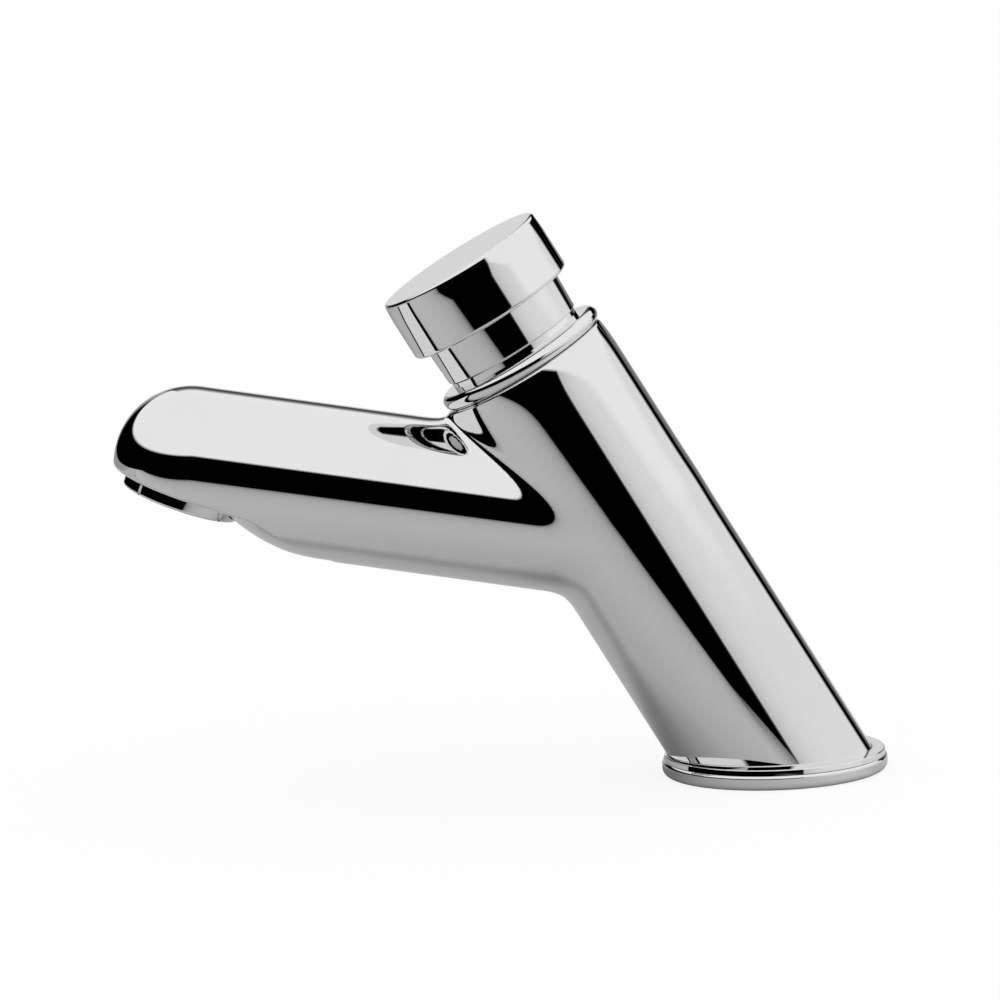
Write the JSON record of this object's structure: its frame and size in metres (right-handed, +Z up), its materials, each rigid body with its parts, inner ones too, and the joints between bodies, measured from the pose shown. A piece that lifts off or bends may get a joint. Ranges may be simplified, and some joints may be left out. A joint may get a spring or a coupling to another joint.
{
  "type": "push timed tap",
  "caption": "Chromed self-closing basin tap: a leaning round column with a push button on a neck, a rising round spout with a tilted aerator, and a round base ring.",
  "frame": {"origin": "middle of the base's underside, on the deck and on the inlet thread's axis", "axes": "+Z up from the deck, -X towards the spout's tip, Y from side to side"},
  "size_m": [0.1687, 0.05, 0.1266],
  "materials": {
    "chrome": "polished chrome plate on cast brass",
    "brass": "turned brass",
    "steel": "turned stainless steel",
    "plastic": "white acetal",
    "rubber": "black nitrile rubber"
  },
  "bodies": {
    "tap": {"tap_body": "chrome", "base_ring": "chrome", "base_seal": "rubber", "inlet_strainer": "steel", "collar_ring": "chrome", "bonnet": "chrome", "bonnet_o_ring": "rubber", "stem_bush": "plastic", "stem_o_ring": "rubber", "cartridge_housing": "plastic", "cartridge_upper_o_ring": "rubber", "cartridge_lower_o_ring": "rubber", "cartridge_gasket": "rubber", "valve_seat": "brass", "metering_pin": "steel", "aerator_housing": "chrome", "aerator_insert": "plastic", "aerator_screen": "steel", "aerator_gasket": "rubber", "return_spring": "steel"},
    "plunger": {"push_button": "chrome", "stem": "steel", "lock_nut": "steel", "piston": "plastic", "piston_seal": "rubber", "piston_clip": "steel", "seat_washer": "rubber", "washer_carrier": "brass", "washer_nut": "brass"}
  },
  "joints": [
    {"name": "button_push", "type": "slide", "parent": "tap", "child": "plunger", "axis": [0.5, 0, -0.866], "range_m": [0, 0.007], "stiffness_N_per_m": 1200, "springref_m": -0.012, "deforming": ["return_spring"]}
  ]
}
